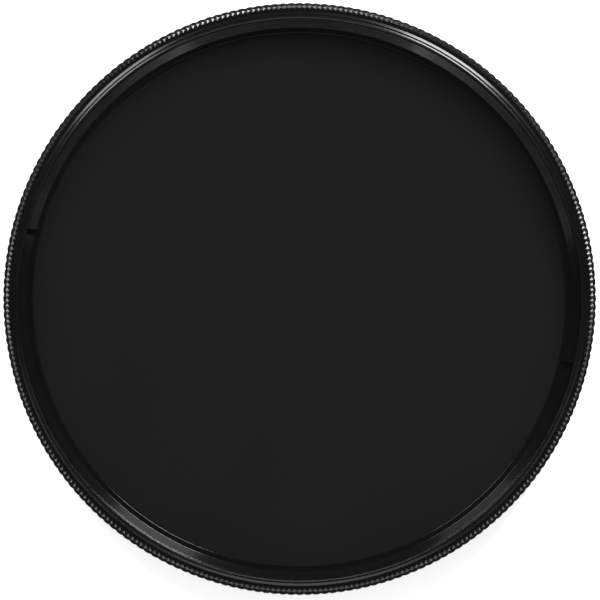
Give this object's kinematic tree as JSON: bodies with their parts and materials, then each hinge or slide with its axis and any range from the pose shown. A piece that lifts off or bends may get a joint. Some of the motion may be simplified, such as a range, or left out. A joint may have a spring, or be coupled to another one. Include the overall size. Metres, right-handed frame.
{
  "type": "neutral density filter",
  "caption": "Round screw-in neutral density lens filter: dark glass disc in a slim black threaded ring with a knurled edge.",
  "frame": {"origin": "on the optical axis, at the rear end of the lens thread that the filter lies on", "axes": "+Z along the optical axis from the rear thread to the front; +Y is the top of the picture"},
  "size_m": [0.0802, 0.0802, 0.0067],
  "materials": {
    "anodised_frame": "black anodised, satin turned",
    "anodised_ring": "black anodised, glossy turned",
    "nd_glass": "dark neutral density glass, polished and coated"
  },
  "bodies": {
    "root": {"filter_frame": "anodised_frame", "retaining_ring": "anodised_ring", "filter_glass": "nd_glass"}
  },
  "joints": []
}
